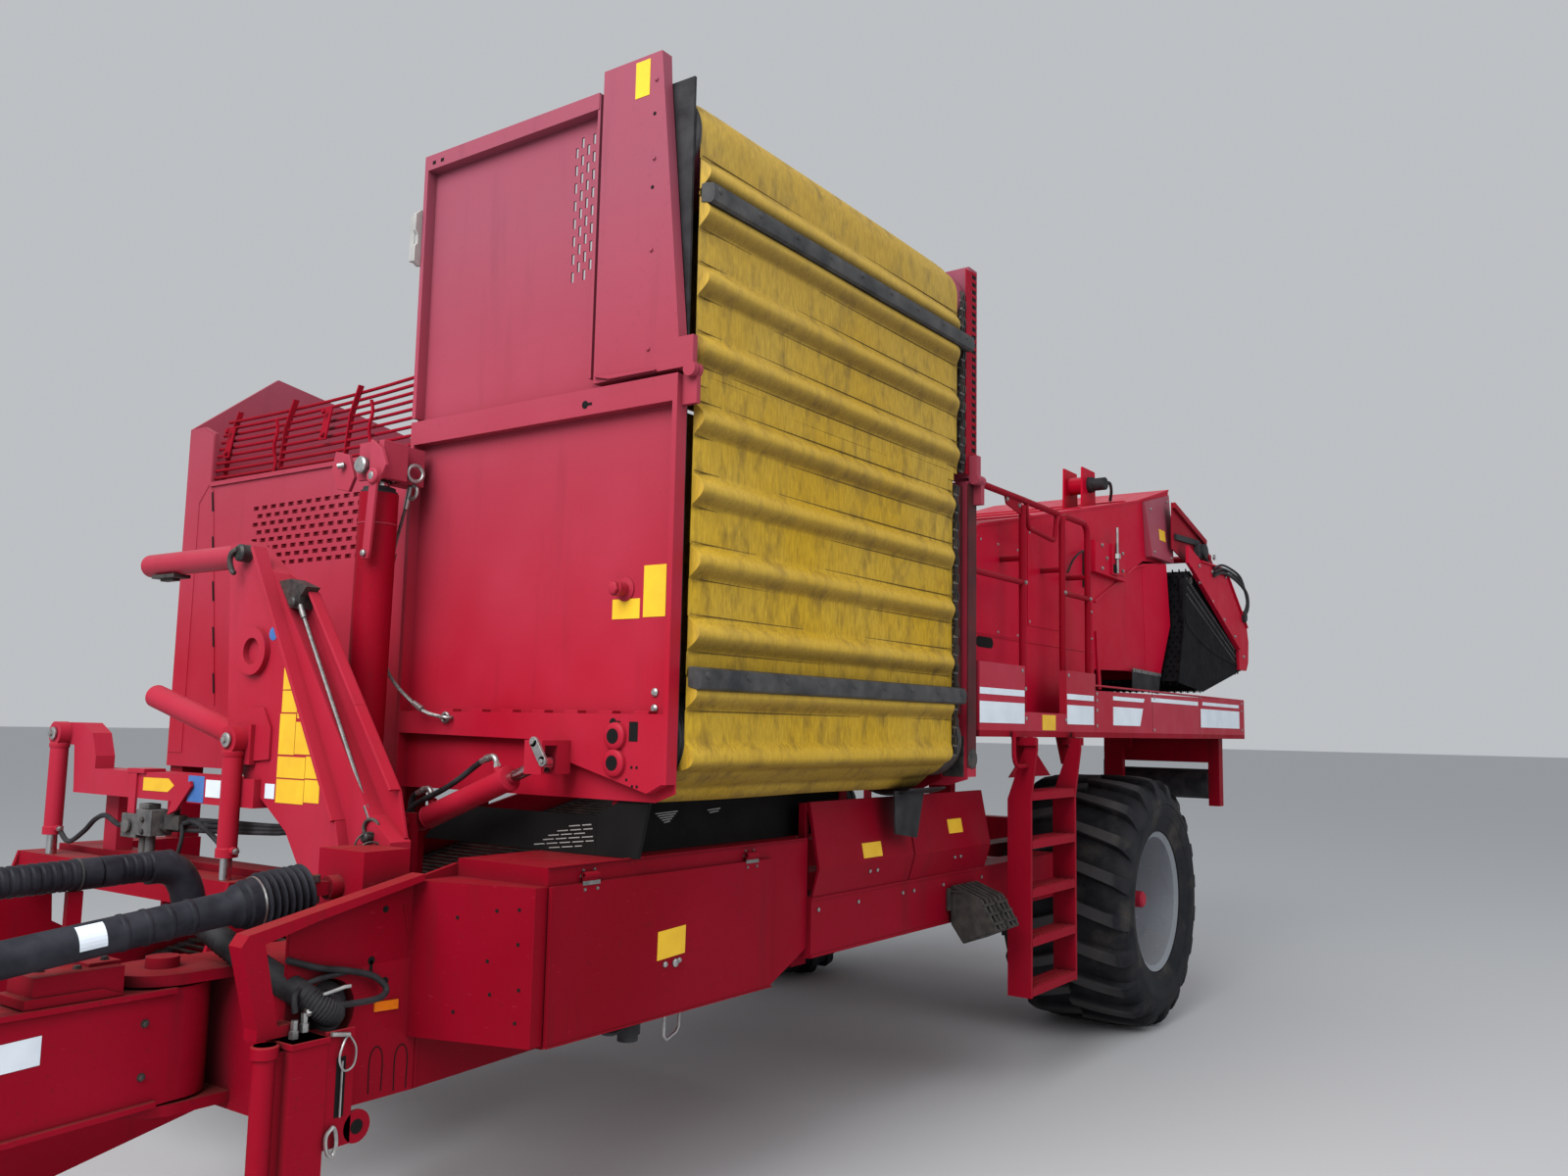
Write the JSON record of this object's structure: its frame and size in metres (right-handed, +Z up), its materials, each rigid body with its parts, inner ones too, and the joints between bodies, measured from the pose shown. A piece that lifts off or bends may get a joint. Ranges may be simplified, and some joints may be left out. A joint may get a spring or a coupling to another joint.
{
  "type": "potato harvester",
  "caption": "Trailed side-digging potato harvester with an upright belt discharge wall, hopper, picking house, rear separator, steered drawbar and wide tyres.",
  "frame": {"origin": "middle of the machine's outer box, on the ground", "axes": "+X forward to the hitch, +Y to the left, +Z up"},
  "size_m": [10.79, 3.21, 4],
  "materials": {
    "red_paint": "weathered gloss crimson paint",
    "yellow_belt": "soiled mustard belt",
    "web_steel": "worn dark steel",
    "black_rubber": "matt rubber",
    "black_plastic": "matt guard plastic",
    "cast_grey": "grey casting",
    "dark_steel": "dark steel",
    "rod_chrome": "polished rod",
    "tyre_rubber": "dusty tyre",
    "rim_silver": "silver paint"
  },
  "bodies": {
    "chassis": {"main_frame": "red_paint", "side_frame": "red_paint", "portal_frame": "red_paint", "axle_beam": "red_paint", "gantry": "red_paint", "side_guard": "red_paint", "jack_tube": "red_paint", "storage_box": "red_paint", "side_covers": "red_paint", "wheel_chocks": "cast_grey", "web_channel": "red_paint", "main_web": "web_steel", "rear_web": "web_steel", "platform": "red_paint", "side_panel": "red_paint", "railings": "red_paint", "picking_house": "red_paint", "trash_chute": "red_paint", "separator_frame": "red_paint", "finger_belt": "black_rubber", "rear_roller": "black_rubber", "gearbox": "cast_grey", "hopper": "red_paint", "hopper_cage": "red_paint"},
    "drawbar": {"drawbar_beam": "red_paint", "hitch_eye": "dark_steel", "hose_conduit": "black_plastic"},
    "drive_shaft": {"pto_shaft": "black_plastic"},
    "jack": {"jack_leg": "red_paint"},
    "tool_box_door": {"box_door": "red_paint"},
    "step_ladder": {"ladder": "red_paint"},
    "discharge_wall": {"lower_walls": "red_paint", "lower_belt": "yellow_belt", "belt_roller": "dark_steel", "wall_rope": "dark_steel"},
    "discharge_head": {"upper_walls": "red_paint", "upper_belt": "yellow_belt"},
    "fold_cylinder": {"fold_barrel": "red_paint"},
    "fold_piston": {"fold_rod": "rod_chrome"},
    "tilt_cylinder": {"tilt_barrel": "red_paint"},
    "tilt_piston": {"tilt_rod": "rod_chrome"},
    "intake": {"intake_frame": "red_paint", "intake_rollers": "web_steel"},
    "lift_pistons": {"intake_rods": "rod_chrome"},
    "wheel_left": {"tyre_left": "tyre_rubber", "rim_left": "rim_silver"},
    "wheel_right": {"tyre_right": "tyre_rubber", "rim_right": "rim_silver"},
    "steer_cylinder": {"steer_barrel": "red_paint"},
    "steer_piston": {"steer_rod": "rod_chrome"}
  },
  "joints": [
    {"name": "wheel_left_spin", "type": "hinge", "parent": "chassis", "child": "wheel_left", "pos_m": [-2.875, 1.215, 0.735], "axis": [0, 1, 0], "continuous": true},
    {"name": "wheel_right_spin", "type": "hinge", "parent": "chassis", "child": "wheel_right", "pos_m": [-2.875, -1.215, 0.735], "axis": [0, 1, 0], "continuous": true},
    {"name": "drawbar_steer", "type": "hinge", "parent": "chassis", "child": "drawbar", "pos_m": [2.655, 0.52, 0.83], "axis": [0, 0, 1], "range_deg": [-20, 20]},
    {"name": "shaft_swing", "type": "hinge", "parent": "chassis", "child": "drive_shaft", "pos_m": [2.325, 0.72, 1.22], "axis": [0, 0, 1], "range_deg": [-17.01, 17.01]},
    {"name": "steer_turn", "type": "hinge", "parent": "chassis", "child": "steer_cylinder", "pos_m": [2.175, 0.25, 0.715], "axis": [0, 0, 1], "range_deg": [-4.34, 4.34]},
    {"name": "steer_stroke", "type": "slide", "parent": "steer_cylinder", "child": "steer_piston", "axis": [0.9925, 0.1222, 0], "range_m": [-0.0728, 0.0728]},
    {"name": "jack_slide", "type": "slide", "parent": "chassis", "child": "jack", "axis": [0, 0, 1], "range_m": [0, 0.3]},
    {"name": "box_door_hinge", "type": "hinge", "parent": "chassis", "child": "tool_box_door", "pos_m": [1.325, 1.312, 1.262], "axis": [1, 0, 0], "range_deg": [0, 90]},
    {"name": "ladder_fold", "type": "hinge", "parent": "chassis", "child": "step_ladder", "pos_m": [-1.315, 1.575, 1.68], "axis": [1, 0, 0], "range_deg": [0, 165]},
    {"name": "wall_fold", "type": "hinge", "parent": "chassis", "child": "discharge_wall", "pos_m": [0.575, 1.345, 1.68], "axis": [-1, 0, 0], "range_deg": [0, 55]},
    {"name": "head_kink", "type": "hinge", "parent": "discharge_wall", "child": "discharge_head", "pos_m": [0.575, 1.54, 2.87], "axis": [-1, 0, 0], "range_deg": [0, 40]},
    {"name": "fold_turn", "type": "hinge", "parent": "chassis", "child": "fold_cylinder", "pos_m": [1.775, 0.18, 1.3], "axis": [-1, 0, 0], "range_deg": [0, 33.95]},
    {"name": "fold_stroke", "type": "slide", "parent": "fold_cylinder", "child": "fold_piston", "axis": [0, 0.0148, 0.9999], "range_m": [0, 0.9331]},
    {"name": "tilt_turn", "type": "hinge", "parent": "chassis", "child": "tilt_cylinder", "pos_m": [1.715, 0.44, 1.37], "axis": [-1, 0, 0], "range_deg": [-17.17, 0]},
    {"name": "tilt_stroke", "type": "slide", "parent": "tilt_cylinder", "child": "tilt_piston", "axis": [0, 0.9363, 0.3511], "range_m": [0, 0.1953]},
    {"name": "intake_lift", "type": "hinge", "parent": "chassis", "child": "intake", "pos_m": [1.725, -0.775, 0.6], "axis": [0, 1, 0], "range_deg": [0, 8]},
    {"name": "lift_stroke", "type": "slide", "parent": "chassis", "child": "lift_pistons", "axis": [0, 0, -1], "range_m": [0, 0.047]}
  ],
  "couplings": [
    {"joint": "shaft_swing", "follows": "drawbar_steer", "ratio": 0.85},
    {"joint": "steer_turn", "follows": "drawbar_steer", "ratio": 0.2165},
    {"joint": "steer_stroke", "follows": "drawbar_steer", "m_per_rad": 0.207},
    {"joint": "fold_turn", "follows": "wall_fold", "ratio": 0.617},
    {"joint": "fold_stroke", "follows": "wall_fold", "m_per_rad": 0.971},
    {"joint": "tilt_turn", "follows": "wall_fold", "ratio": -0.312},
    {"joint": "tilt_stroke", "follows": "wall_fold", "m_per_rad": 0.2024},
    {"joint": "lift_stroke", "follows": "intake_lift", "m_per_rad": 0.333}
  ]
}
